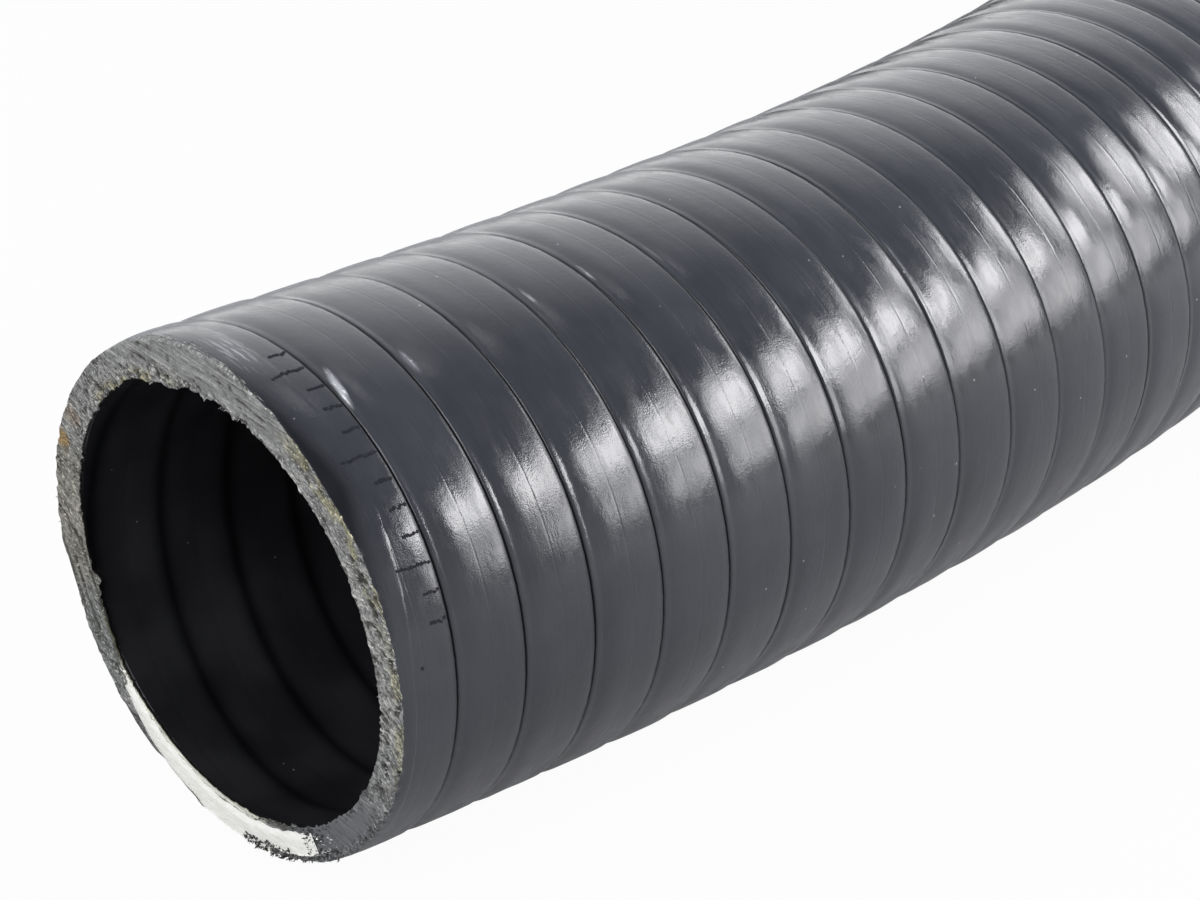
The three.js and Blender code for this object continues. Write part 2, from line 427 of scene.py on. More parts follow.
def painted_glint(n, solid, along, turn, ahead, sizes, strength):
    """A painted glint's strength: an oval that fades out from its middle and leans with the hose."""
    radius = SEAM_R + 0.45 * MM
    centre = place(along * MM, turn, radius) / MM
    onward = place((along + ahead) * MM, turn + 0.01, radius) / MM
    lean = Vector(onward - centre).to_track_quat("Y", "Z").to_euler()
    oval = n.drawn(solid, sizes, lean, centre.tolist())
    from_middle = n.add("ShaderNodeVectorMath", {0: oval}, operation="LENGTH").outputs["Value"]
    return n.ease(from_middle, 0.15, 1.0, strength, 0)


def skin_colour(n, solid, lines, scratches, deep):
    """Dark grey with clouds, fine lines, a few pale specks, light scratches, painted shade in the seams and
    painted glint streaks.
    """
    clouds = n.noise(solid, 0.045, 3.0, 0.55)
    skin = n.mix(n.ease(clouds, 0.3, 0.7), (0.022, 0.0232, 0.0275, 1), (0.031, 0.0328, 0.038, 1))
    skin = n.mix(n.ease(lines, 0.35, 0.75, 0, 0.15), skin, (0.052, 0.054, 0.060, 1))
    # Painted shade: the seams' cracks and their edges darkened in colour
    skin = n.mix(n.math("MULTIPLY", deep, 0.85, True), skin, (0.008, 0.008, 0.010, 1))
    skin = n.mix(n.specks(solid, 0.16, 0.035), skin, (0.35, 0.35, 0.36, 1))
    strokes = n.math("ADD", n.ease(scratches, 0.5, 0.6), 0.2)
    skin = n.mix(n.math("MULTIPLY", strokes, n.field("scuff"), True), skin, (0.5, 0.505, 0.51, 1))
    strokes = n.math("ADD", strokes, 0.35)
    # Painted highlights: pale glint streaks mixed into the skin's colour
    for row in PAINTED_GLINTS:
        glint_strength = n.math("MULTIPLY", painted_glint(n, solid, *row), strokes, True)
        skin = n.mix(glint_strength, skin, (0.62, 0.625, 0.64, 1))
    return skin


def face_grain(n, solid, crumbs, even):
    """The sawn face's grain: torn fibres and crumbs, or lines along the saw's way where it is even."""
    scored = n.noise(n.drawn(solid, (1.0, 8.0, 0.4), (0.12, 0, 0)), 1.0, 3.0, 0.7)
    fibres = n.noise(n.drawn(solid, (1.0, 2.0, 0.33), (0.58, 0, 0)), 1.0, 3.0, 0.72, 0.3)
    torn = n.blend(0.5, fibres, crumbs)
    sleek = n.blend(n.ease(even, 0.75, 0.95, 0, 0.55), n.blend(0.22, scored, crumbs), 0.5)
    return n.blend(even, torn, sleek)


# The sawn face's greys, from its hollows, darkened as painted shade, to where it is torn pale
FACE_TONES = [
    (0.26, (0.020, 0.019, 0.015)), (0.38, (0.067, 0.065, 0.056)), (0.45, (0.145, 0.145, 0.136)),
    (0.51, (0.208, 0.211, 0.204)), (0.59, (0.32, 0.32, 0.295)), (0.70, (0.64, 0.63, 0.58)),
]


def face_colour(n, solid, grain, even):
    """The sawn face's colour, with small pale and dark pits where it is torn."""
    # The tone takes in painted light and shade from the face's relief: pits darker, what stands out paler
    tone = n.blend(0.38, grain, n.field("worn"))
    tone = n.math("ADD", n.math("MULTIPLY", n.math("SUBTRACT", tone, 0.5), 1.35), 0.5)
    face = n.ramp(tone, FACE_TONES)
    fine = n.noise(n.drawn(solid, (1.0, 0.75, 0.22), (0.58, 0, 0)), 1.0, 1.0)
    torn_there = n.ease(even, 0.25, 0.8, 0.85, 0)
    face = n.mix(n.math("MULTIPLY", n.ease(fine, 0.61, 0.69), torn_there), face, (0.62, 0.61, 0.56, 1))
    face = n.mix(n.math("MULTIPLY", n.ease(fine, 0.40, 0.33), torn_there), face, (0.028, 0.027, 0.02, 1))
    return n.multiplied(face, n.field("tint", "Color"))


def cover_material():
    n = Nodes("soft_cover")
    solid = n.in_mm()
    lines = n.noise(wound_lines(n, 0.3, 7), 1.0, 3.0, 0.6)
    broad_lines = n.noise(wound_lines(n, 1.6, 45), 1.0, 2.0)
    blotches = n.noise(wound_lines(n, 3.2, 7), 1.0, 2.5, 0.5)
    dents = n.noise(solid, 0.12, 1.5, 0.45)
    peel = n.noise(solid, 0.9, 2.0, 0.5)
    crumbs = n.noise(solid, 2.8, 3.0, 0.7)
    sand = n.noise(solid, 4.0, 1.0, 0.6)
    scratches = n.noise(n.drawn(solid, (0.42, 8.0, 0.9)), 1.0, 3.0, 0.6)
    deep, cut, even = (n.field(name) for name in ("deep", "cut", "even"))
    grain = face_grain(n, solid, crumbs, even)

    # The edge of the face runs out into the skin in long scratches
    between = n.math("MULTIPLY", cut, n.math("SUBTRACT", 1.0, cut))
    streaky = n.math("MULTIPLY", between, n.math("MULTIPLY", n.math("SUBTRACT", scratches, 0.5), 10.0))
    edge = n.ease(n.math("ADD", cut, streaky), 0.4, 0.6)

    skin = skin_colour(n, solid, lines, scratches, deep)
    skin_rough = n.blend(n.ease(blotches, 0.44, 0.56), 0.13, 0.22)
    skin_rough = n.math("ADD", skin_rough, n.ease(lines, 0.3, 0.8, -0.02, 0.05))
    skin_rough = n.math("ADD", skin_rough, n.math("MULTIPLY", deep, 0.25))
    normal = n.bump(n.math("MULTIPLY", grain, edge), 0.4 * MM)
    for height, mm in (
        (lines, 0.006), (broad_lines, 0.02), (blotches, 0.055), (dents, 0.08), (peel, 0.02), (sand, 0.018),
    ):
        normal = n.bump(height, mm * MM, normal)
    return n.finish(
        Base_Color=n.mix(edge, skin, face_colour(n, solid, grain, even)),
        Roughness=n.blend(edge, skin_rough, n.ease(crumbs, 0.3, 0.7, 0.55, 0.85)),
        Normal=normal,
        IOR=1.53,
        Specular_IOR_Level=n.ease(deep, 0.0, 1.0, 0.5, 0.08),
    )


def helix_material():
    n = Nodes("rigid_plastic")
    solid = n.in_mm()
    streaks = n.noise(n.scaled(solid, (1.0, 0.3, 3.0), (0.23, 0, 0)), 1.0, 3.0, 0.6)
    soft = n.noise(solid, 0.35, 2.0)
    colour = n.mix(n.ease(streaks, 0.35, 0.7), (0.80, 0.79, 0.72, 1), (0.91, 0.905, 0.86, 1))
    colour = n.mix(n.ease(soft, 0.45, 0.7, 0, 0.5), colour, (0.78, 0.76, 0.67, 1))
    normal = n.bump(streaks, 0.12 * MM)
    roughness = n.ease(streaks, 0.3, 0.7, 0.4, 0.6)
    return n.finish(Base_Color=colour, Roughness=roughness, Normal=normal, IOR=1.5)


def liner_material():
    n = Nodes("bore_liner")
    solid = n.in_mm()
    lines = n.noise(wound_lines(n, 2.0, 60), 1.0, 2.0)
    clouds = n.noise(solid, 0.06, 2.0)
    grain = n.noise(solid, 4.0, 2.0)
    colour = n.mix(n.ease(clouds, 0.3, 0.7), (0.009, 0.009, 0.0105, 1), (0.0135, 0.0135, 0.0155, 1))
    # Painted shade: the bore's creases darkened in colour
    colour = n.mix(n.math("MULTIPLY", n.field("deep"), 0.85), colour, (0.001, 0.001, 0.002, 1))
    colour = n.mix(n.specks(solid, 0.17, 0.026), colour, (0.3, 0.3, 0.32, 1))
    normal = n.bump(lines, 0.03 * MM)
    normal = n.bump(grain, 0.006 * MM, normal)
    roughness = n.ease(clouds, 0.3, 0.7, 0.36, 0.5)
    return n.finish(Base_Color=colour, Roughness=roughness, Normal=normal, IOR=1.5)


def ink_material():
    n = Nodes("marking_ink")
    patchy = n.noise(n.in_mm(), 3.5, 3.0)
    colour = n.mix(n.ease(patchy, 0.4, 0.7), (0.006, 0.006, 0.010, 1), (0.020, 0.020, 0.027, 1))
    roughness = n.ease(patchy, 0.3, 0.7, 0.7, 0.9)
    return n.finish(Base_Color=colour, Roughness=roughness, Normal=n.bump(patchy, 0.01 * MM), IOR=1.3)


soft_cover = cover_material()
rigid_plastic = helix_material()
bore_liner = liner_material()
marking_ink = ink_material()


# The skin in two lengths, the one near the camera finer: first lap, last lap, columns to a lap
SKIN_LENGTHS = [(-2, 27, 72), (27, 76, 44)]
# How far the skin runs under the sawn ends' own pieces
OVERLAP = 0.8 * MM
# As a share of the pitch, what keeps a lap's edges on their own side of the seam
HAIR = 1e-5


def sunk(radius):
    """How deep in the seam a point lies: 0 down to 0.2 mm over the seam's radius, 1 from 0.6 mm under it."""
    return np.clip((0.2 * MM - (radius - SEAM_R)) / (0.8 * MM), 0, 1)


def wound_skin(first, last, around):
    """The skin from one lap to another, both at the floor, trimmed where the sawn ends' own pieces begin."""
    knots = np.array([x for x, _ in PROFILE])
    laps = np.arange(first * around, last * around + 1) / around
    lap, x = np.meshgrid(laps, knots, indexing="ij")
    turn = lap % 1
    along = (lap + x + SEAM_SHIFT) * PITCH
    low = near_cut(turn, SEAM_R) + round_table(turn, NEAR_COVER) * MM - OVERLAP
    high = far_cut(turn, SEAM_R) - round_table(turn, FAR_COVER) * MM + OVERLAP
    held = np.clip(along, low, high)
    inside = np.clip(held / PITCH - lap - SEAM_SHIFT, HAIR, 1 - HAIR)
    radius = skin_radius((lap + inside + SEAM_SHIFT) * PITCH, turn)
    points = place(held, turn, radius)
    # All points of a column that trimming moved onto the rim are one point
    index = np.arange(lap.size).reshape(lap.shape)
    for moved in (along < low, along > high):
        first_moved = np.take_along_axis(index, moved.argmax(axis=1)[:, None], axis=1)
        index = np.where(moved, first_moved, index)
    here, on = slice(None, -1), slice(1, None)
    corners = [(here, here), (on, here), (on, on), (here, on)]
    quads = np.stack([index[c] for c in corners], axis=-1).reshape(-1, 4)
    uv = np.stack([np.stack([inside[c], lap[c]], -1) for c in corners], axis=-2).reshape(-1, 4, 2)
    # Where the skin's colour is darkened as painted shade: the crack, the edges beside it, and wherever the
    # skin sinks into the seam
    crack = np.maximum(1 - step(0.016, 0.036, inside), step(0.945, 0.974, inside))
    return points.reshape(-1, 3), quads, uv, np.maximum(crack, sunk(radius)).reshape(-1)


def used_only(points, faces):
    """Which points the faces use, and the faces numbered among those alone."""
    used = np.unique(np.concatenate(faces))
    new = np.full(len(points), -1)
    new[used] = np.arange(len(used))
    return used, [[int(new[i]) for i in face] for face in faces]


def without_flat(points, quads, uv, deep):
    """Drops faces that trimming flattened, and points that no face uses."""
    faces, corners = [], []
    for quad, pairs in zip(quads.tolist(), uv.tolist()):
        kept = [k for k in range(4) if quad[k] != quad[k - 1]]
        if len(kept) > 2 and len({quad[k] for k in kept}) == len(kept):
            faces.append([quad[k] for k in kept])
            corners.append([pairs[k] for k in kept])
    used, faces = used_only(points, faces)
    return points[used], faces, corners, deep[used]


def make_skin():
    all_points, all_faces, all_corners, all_deep = [], [], [], []
    offset = 0
    for first, last, around in SKIN_LENGTHS:
        points, faces, corners, deep = without_flat(*wound_skin(first, last, around))
        all_points.append(points)
        all_faces += [[i + offset for i in face] for face in faces]
        all_corners += corners
        all_deep.append(deep)
        offset += len(points)
    none = np.zeros(offset)
    return make(
        "cover_skin", np.vstack(all_points), all_faces, soft_cover, uv=all_corners,
        deep=np.concatenate(all_deep), cut=none, even=none, worn=none, scuff=none, tint=np.ones((offset, 3)),
    )


cover_skin = make_skin()


def ring_grid(along, turn, radius, outward, closed=False):
    """Points, faces and their corners' uv for rows of rings. The last column is the first, a turn on."""
    rows, columns = along.shape
    around = columns - 1
    points = place(along[:, :-1], turn[:, :-1], radius[:, :-1]).reshape(-1, 3)
    index = np.arange(rows)[:, None] * around + np.arange(columns)[None, :] % around
    wound = along / PITCH - turn - SEAM_SHIFT
    if closed:
        index, wound, turn = (np.vstack([a, a[:1]]) for a in (index, wound, turn))
    here, on = slice(None, -1), slice(1, None)
    corners = [(here, here), (here, on), (on, on), (on, here)]
    if not outward:
        corners = corners[::-1]
    faces = np.stack([index[c] for c in corners], axis=-1).reshape(-1, 4)
    lap = np.floor(sum(wound[c] for c in corners) / 4)
    pairs = [np.stack([wound[c] - lap, lap + turn[c]], -1) for c in corners]
    return points, faces.tolist(), np.stack(pairs, axis=-2).reshape(-1, 4, 2)


# Round the near cut: how ragged the wall's inner and outer edges are, and how far on the skin is roughened
INNER_RAGS = [
    (0.0, 0.3), (0.06, 0.12), (0.14, 0.25), (0.18, 0.45), (0.25, 0.5), (0.33, 0.55), (0.42, 0.4),
    (0.45, 0.45), (0.52, 0.4), (0.56, 0.2), (0.62, 0.18), (0.7, 0.22), (0.8, 0.2), (0.87, 0.35),
    (0.93, 0.55),
]
OUTER_RAGS = [
    (0.0, 0.3), (0.1, 0.15), (0.15, 0.45), (0.28, 0.45), (0.34, 0.2), (0.5, 0.08), (0.62, 0.08),
    (0.7, 0.3), (0.8, 0.5), (0.97, 0.5),
]
ROUGH_SKIN = [
    (0.0, 0.3), (0.3, 0.3), (0.36, 0.8), (0.42, 2.4), (0.47, 3.4), (0.51, 2.4), (0.55, 1.1),
    (0.59, 0.5), (0.7, 0.4),
]
# Single teeth of those edges: turn, half width, and mm towards the bore or out
INNER_TEETH = [
    (0.209, 0.007, 1.7), (0.502, 0.006, 1.0), (0.468, 0.02, 0.7), (0.535, 0.006, 0.7), (0.61, 0.004, 0.5),
]
OUTER_TEETH = [
    (0.232, 0.009, 0.7), (0.21, 0.014, -0.6), (0.043, 0.008, 0.5), (0.305, 0.006, -0.35),
    (0.272, 0.005, -0.4), (0.334, 0.005, -0.3),
]


def inner_edge(column, near, seed):
    """The radius of the sawn wall's inner edge, with the rags that hang into the bore."""
    if near:
        edge, rags = round_table(column, NEAR_INNER), round_table(column, INNER_RAGS)
    else:
        edge = 37.9 + 0.5 * (round_noise(column, 9, seed + 1) - 0.5)
        rags = 0.3 + 0.3 * round_noise(column, 5, seed + 2)
    fine, coarse = round_noise(column, 430, seed + 3), round_noise(column, 120, seed + 4)
    fringe = rags * (1.1 * fine**3 + 1.3 * coarse**4)
    for centre, half, mm in INNER_TEETH if near else []:
        fringe = fringe + mm * spot(column, centre, half)
    return (edge - fringe) * MM


def outer_rags(column, near, seed):
    """How far the sawn wall's outer edge stands out or in."""
    rags = round_table(column, OUTER_RAGS) if near else 0.3
    fine, coarse = round_noise(column, 330, seed + 5), round_noise(column, 90, seed + 6)
    ragged = rags * (fine**2 - 0.25 + 0.8 * (coarse - 0.5))
    for centre, half, mm in OUTER_TEETH if near else []:
        ragged = ragged + mm * spot(column, centre, half)
    return ragged * MM * 0.8


def face_rough(turn, q):
    """How torn the near face is, from 0 to 1. q is the share across the wall, from the skin to the bore."""
    stretches = [
        span(turn, 0.585, 0.84, 0.02),
        0.75 * span(turn, 0.1, 0.4, 0.03),
        0.7 * span(turn, 0.33, 0.47, 0.02) * step(0.45, 0.75, q),
        0.35 * span(turn, 0.4, 0.585, 0.03),
        0.6 * span(turn, 0.46, 0.6, 0.02) * step(0.78, 0.95, q),
        span(turn, 0.83, 1.07, 0.02) * (1 - step(0.12, 0.34, q)),
        0.8 * (spot(turn, 0.865, 0.02) + spot(turn, 0.955, 0.025)) * step(0.7, 0.95, q),
    ]
    return np.clip(sum(stretches), 0.06, 1)


def face_heights(y, z, turn, rough, seed):
    """Heights of the sawn face in mm, from -0.9 to 0.4: drawn out along the saw's way, torn where rough."""
    slant = 0.12 + 0.48 * (span(turn, 0.2, 0.36, 0.06) + span(turn, 0.62, 0.86, 0.05))
    b, c = y * np.cos(slant) + z * np.sin(slant), z * np.cos(slant) - y * np.sin(slant)
    score = noise(b / 7, c / 0.5, seed + 9) - 0.5
    fibre = 1 - np.abs(2 * noise(b / 1.6, c / 0.62, seed + 14) - 1)
    lump = noise(y * 0.6, z * 0.6, seed + 7) - 0.5
    crumb = noise(y * 1.9, z * 1.9, seed + 8) - 0.5
    pit = step(0.74, 0.9, noise(b / 1.3, c / 0.65, seed + 10))
    slot = step(0.8, 0.92, noise(b / 5, c / 0.45, seed + 15))
    torn = 0.2 * lump + 0.2 * crumb + 0.26 * (fibre**2 - 0.4) - 0.45 * pit
    sleek = 1 - 0.65 * span(turn, 0.86, 0.955, 0.015) * (rough < 0.3)
    return rough * torn + sleek * (0.13 + 0.1 * rough) * score - sleek * (0.16 + 0.3 * rough) * slot


def tinted(tint, mask, colour):
    return tint + (np.array(colour) - tint) * np.clip(mask, 0, 1)[..., None]


def near_tint(turn, q, seed):
    """What the near face's stretches are tinted by, from the skin's side, where q is 0, to the bore."""
    patch = noise(turn * 130, q * 4, seed + 13)
    yellow = (1.12, 1.06, 0.74)
    rod_white = step(0.8, 0.84, q) * (1 - step(0.95, 1.0, q))
    looks = [
        (span(turn, 0.36, 0.46, 0.03) * step(0.6, 0.9, q) * step(0.4, 0.6, patch), yellow),
        (span(turn, 0.585, 0.70, 0.02) * (1 - step(0.35, 0.6, q)) * step(0.4, 0.6, patch), yellow),
        (span(turn, 0.72, 0.82, 0.02) * (1 - step(0.2, 0.45, q)) * step(0.3, 0.6, patch), (1.15, 1.1, 0.85)),
        (span(turn, 0.2, 0.31, 0.02), (0.93, 0.89, 0.80)),
        (span(turn, 0.12, 0.2, 0.02), (0.78, 0.80, 0.79)),
        (span(turn, 0.84, 0.965, 0.015), (0.52, 0.53, 0.58)),
        (span(turn, 0.79, 0.85, 0.02) * 0.6, (0.75, 0.76, 0.79)),
        (spot(turn, 0.307, 0.009) * (1 - step(0.25, 0.5, q)) * 1.5, (1.3, 0.85, 0.35)),
        (spot(turn, 0.33, 0.01) * (1 - step(0.5, 0.8, q)) * 0.6, (1.1, 0.8, 0.5)),
        (span(turn, -0.06, 0.135, 0.01) * (1 - step(0.05, 0.25, q)), (0.5, 0.5, 0.5)),
        (span(turn, -0.05, 0.2, 0.02) * step(0.8, 0.95, q), (0.30, 0.29, 0.18)),
        # The rod's white runs on to the bore's edge
        (span(turn, -0.02, 0.145, 0.01) * rod_white, (3.3, 3.25, 2.95)),
    ]
    tint = np.ones((*turn.shape, 3))
    for mask, colour in looks:
        tint = tinted(tint, mask, colour)
    return tint


# One pitch of the bore, from the step that each turn of the winding leaves: share of the pitch, and mm
BORE_PROFILE = [
    (0.0, 0.20), (0.04, 0.29), (0.09, 0.37), (0.15, 0.40), (0.3, 0.37), (0.47, 0.31), (0.5, 0.34),
    (0.53, 0.29), (0.72, 0.17), (0.82, 0.09), (0.89, 0.05), (0.95, 0.10), (1.0, 0.20),
]
BORE_STEP = 0.87


def bore_radius(along, turn):
    share, mm = np.array(BORE_PROFILE).T
    return BORE_R + np.interp((along / PITCH - turn - BORE_STEP) % 1, share, mm) * MM


SKIN_ROWS = 15
FACE_ROWS = 28
LIP_ROWS = 6


def sawn_end(name, near, around, seed):
    """A sawn end: a short overlap of skin, the rough face across the wall, and its lip in the bore."""
    cut = near_cut if near else far_cut
    ahead = 1 if near else -1
    column = np.arange(around + 1) / around
    inner = inner_edge(column, near, seed)
    ragged = outer_rags(column, near, seed)

    # The overlap, from the skin's own piece, which it starts under and then covers, to the ragged rim
    share = (1 - np.arange(SKIN_ROWS)[:, None] / SKIN_ROWS) ** 1.4
    away = share * round_table(column, NEAR_COVER if near else FAR_COVER) * MM
    skin_along = cut(column, SEAM_R) + ahead * away
    lift = 0.03 - 0.16 * step(0.86, 1.0, share)
    skin_r = skin_radius(skin_along, column % 1) + lift * MM
    skin_r = skin_r + ragged * np.exp(-((away / (0.5 * MM)) ** 2))

    # The face, from the skin to the bore
    q = np.arange(FACE_ROWS + 1)[:, None] / FACE_ROWS
    outer = skin_radius(cut(column, SEAM_R), column % 1) + ragged
    face_r = outer + (inner - outer) * q
    y = face_r * np.sin(2 * np.pi * column) / MM
    z = -face_r * np.cos(2 * np.pi * column) / MM
    rough = face_rough(column, q) if near else 0.75 + 0 * face_r
    relief = face_heights(y, z, column, rough, seed)
    # Painted light and shade: paler where it stands out, darker in the pits
    worn = np.clip(0.5 + relief * np.where(relief < 0, 1.25, 0.85), 0, 1)
    # Crumbs heaped along the skin's edge, and both edges kept low
    heap = step(0.3, 0.0, q) * (span(column, 0.81, 0.97, 0.02) if near else 0.4)
    relief = relief + heap * 0.7 * noise(y * 1.8, z * 1.8, seed + 11)
    relief = relief * step(-0.02, 0.05, q) * (1 - 0.5 * step(0.96, 1.0, q))
    face_along = cut(column, face_r) - ahead * relief * MM

    # The lip, from the face back into the bore
    p = (np.arange(LIP_ROWS)[:, None] + 1) / LIP_ROWS
    reach = 1.0 * MM + 0.6 * np.clip(BORE_R - inner, 0, None)
    back = bore_radius(face_along[-1] + ahead * reach, column) + 0.03 * MM
    lip_r = inner + (back - inner) * step(0, 1, p)
    lip_along = face_along[-1] + ahead * reach * p**1.3

    along = np.vstack([skin_along, face_along, lip_along])
    radius = np.vstack([skin_r, face_r, lip_r])
    turn = np.broadcast_to(column, along.shape)
    for a in (along, radius):
        a[:, -1] = a[:, 0]
    points, faces, uv = ring_grid(along, turn, radius, outward=not near)

    def stacked(skin, face, lip):
        """What the points of the overlap, the face and the lip hold."""
        return np.vstack([skin + 0 * skin_r, face + 0 * face_r, lip + 0 * lip_r])

    dragged = round_table(column, ROUGH_SKIN) if near else 0.4
    sawn = stacked(np.clip(1 - away / (dragged * MM), 0, 1) ** 1.5, 1, 1)
    hit = 0.45 * spot(column, 0.512, 0.034) * spot(away / (9 * MM), 0.45, 0.34) if near else 0
    tint = near_tint(turn, stacked(0, q, 1), seed) if near else np.ones((*turn.shape, 3))
    fields = {
        "tint": tinted(tint, stacked(0, 0, step(0.1, 0.5, p)), (0.05, 0.05, 0.055)),
        # The seams' cracks on the overlap, darkened in the skin's colour as painted shade
        "deep": stacked(sunk(skin_r), 0, 0) * (1 - sawn),
        "cut": sawn,
        "even": stacked(0, 1 - rough, 0),
        "worn": stacked(0.5, worn, 0.3),
        "scuff": stacked(hit, 0, 0),
    }
    fields = {key: value[:, :-1].reshape(-1, *value.shape[2:]) for key, value in fields.items()}
    rim = {"column": column, "inner": inner, "outer": outer, "cut": cut, "ahead": ahead}
    shreds = NEAR_SHREDS if near else FAR_SHREDS
    points, faces, uv, fields = with_shreds(points, faces, uv, fields, rim, shreds, seed + 50)
    return make(name, points, faces, soft_cover, uv=uv, **fields)


# Shreds that the saw left: from turn, to turn, share across the wall from and to, count, size in mm, grey
NEAR_SHREDS = [
    (0.80, 0.97, 0.0, 0.15, 230, 1.3, 0.75), (0.90, 0.99, 0.85, 1.0, 60, 1.1, 0.7),
    (0.955, 1.0, 0.0, 0.3, 260, 1.3, 0.2), (0.84, 0.9, 0.8, 1.0, 22, 0.8, 0.7),
    (0.60, 0.82, 0.92, 1.0, 40, 0.5, 1.3), (0.60, 0.82, 0.0, 0.2, 90, 0.6, 1.3),
    (0.42, 0.56, 0.9, 1.0, 40, 0.9, 1.2), (0.30, 0.44, 0.8, 1.0, 50, 0.8, 1.2),
    (0.18, 0.30, 0.85, 1.0, 30, 0.8, 0.9), (0.19, 0.27, 0.0, 0.15, 12, 0.8, 0.9),
    (0.13, 0.19, 0.0, 1.0, 12, 0.6, 0.7), (0.30, 0.42, 0.0, 0.8, 40, 0.5, 1.2),
    (0.04, 0.06, 0.0, 0.3, 8, 0.7, 0.8), (0.912, 0.935, 0.1, 0.95, 110, 1.2, 0.3),
    (0.90, 0.922, 0.15, 0.9, 40, 0.9, 3.0), (0.60, 0.80, 0.2, 0.9, 90, 0.5, 1.3),
]
FAR_SHREDS = [
    (0.0, 1.0, 0.0, 0.1, 110, 0.7, 0.8), (0.0, 1.0, 0.9, 1.0, 130, 0.7, 0.8),
    (0.0, 1.0, 0.1, 0.9, 60, 0.5, 0.9),
]
SHRED_STEPS = 7
SHRED_SIDES = 4
SHRED_FIELDS = {"deep": 0.0, "cut": 1.0, "even": 0.5, "worn": 0.5, "scuff": 0.0}


def unit(v):
    return v / np.maximum(np.linalg.norm(v, axis=1, keepdims=True), 1e-12)


def shred(rng, turn, q, size, rim):
    """The points of one small curled shred, ring after ring, from its foot on the sawn face."""
    outer = np.interp(turn, rim["column"], rim["outer"])
    inner = np.interp(turn, rim["column"], rim["inner"])
    radius = outer + (inner - outer) * q
    base = rim["cut"](turn, radius) + 0.05 * MM * rim["ahead"]
    long = size * rng.uniform(0.3, 0.9) * MM
    out = rng.uniform(0.1, 0.9) * long
    aside = rng.uniform(-0.8, 0.8) * long
    radial = (0.5 - q) * 2 * rng.uniform(0.0, 0.5) * long if abs(q - 0.5) > 0.3 else 0
    curl = rng.uniform(0.12, 0.4) * long
    turns = rng.uniform(0.3, 1.3)
    phase = rng.uniform(0, 2 * np.pi)
    k = np.arange(SHRED_STEPS) / (SHRED_STEPS - 1)
    swing = phase + 2 * np.pi * turns * k
    a = base - rim["ahead"] * (out * k + curl * (np.sin(swing) - math.sin(phase)) * 0.5)
    r = radius + radial * k + curl * (np.cos(swing) - math.cos(phase)) * 0.5
    t = turn + (aside * k + curl * np.sin(swing * 0.7)) / (2 * np.pi * radius)
    spine = place(a, t, r)
    along = unit(np.gradient(spine, axis=0))
    side = unit(np.cross(along, rng.normal(size=3)))
    up = np.cross(along, side)
    taper = (1 - 0.75 * k**2)[:, None]
    wide = rng.uniform(0.07, 0.2) * size * MM * taper
    thin = rng.uniform(0.03, 0.06) * MM * taper
    rings = np.stack([spine + wide * side, spine + thin * up, spine - wide * side, spine - thin * up], axis=1)
    rings[..., 2] = np.maximum(rings[..., 2], 0)
    return rings.reshape(-1, 3)


def shred_faces():
    """The sides and the two ends of a shred, numbered from its first point."""
    ring = np.arange(SHRED_SIDES)
    on = (ring + 1) % SHRED_SIDES
    sides = [
        np.stack([start + ring, start + on, start + SHRED_SIDES + on, start + SHRED_SIDES + ring], axis=1)
        for start in SHRED_SIDES * np.arange(SHRED_STEPS - 1)
    ]
    return np.vstack([*sides, ring[::-1], ring + SHRED_SIDES * (SHRED_STEPS - 1)])


def with_shreds(points, faces, uv, fields, rim, shreds, seed):
    """Adds small curled shreds of the cover along the edges of a sawn face."""
    rng = np.random.default_rng(seed)
    one = shred_faces()
    all_points, all_faces, all_uv = [points], list(faces), [uv]
    more = {key: [value] for key, value in fields.items()}
    offset = len(points)
    for low, high, q_low, q_high, count, size, grey in shreds:
        for _ in range(count):
            turn = rng.uniform(low, high) % 1
            q = rng.uniform(q_low, q_high)
            made = shred(rng, turn, q, size, rim)
            all_points.append(made)
            all_faces += (one + offset).tolist()
            all_uv.append(np.tile([0.5, turn], (len(one), 4, 1)))
            for key, value in SHRED_FIELDS.items():
                more[key].append(np.full(len(made), value))
            more["tint"].append(np.full((len(made), 3), grey * rng.uniform(0.55, 1.35)))
            offset += len(made)
    fields = {key: np.concatenate(values) for key, values in more.items()}
    return np.vstack(all_points), all_faces, np.concatenate(all_uv), fields


near_sawn_end = sawn_end("near_sawn_end", True, 1000, 100)
far_sawn_end = sawn_end("far_sawn_end", False, 480, 200)


# The rigid helix: corners of its section, share of the pitch and radius in mm
HELIX_SECTION = [
    (-0.035, 38.75), (-0.03, 40.3), (-0.005, 41.5), (0.03, 42.3), (0.075, 42.7), (0.12, 42.7),
    (0.16, 42.3), (0.177, 41.9), (0.19, 41.5), (0.2, 40.9), (0.21, 40.3), (0.213, 39.7),
    (0.214, 39.3), (0.215, 38.75),
]
# Laps of the helix: from, to, and columns to a lap. It is finest at the near cut.
HELIX_LENGTHS = [(-1.3, 1.0, 260), (1.0, 71.5, 30), (71.5, 73.6, 160)]


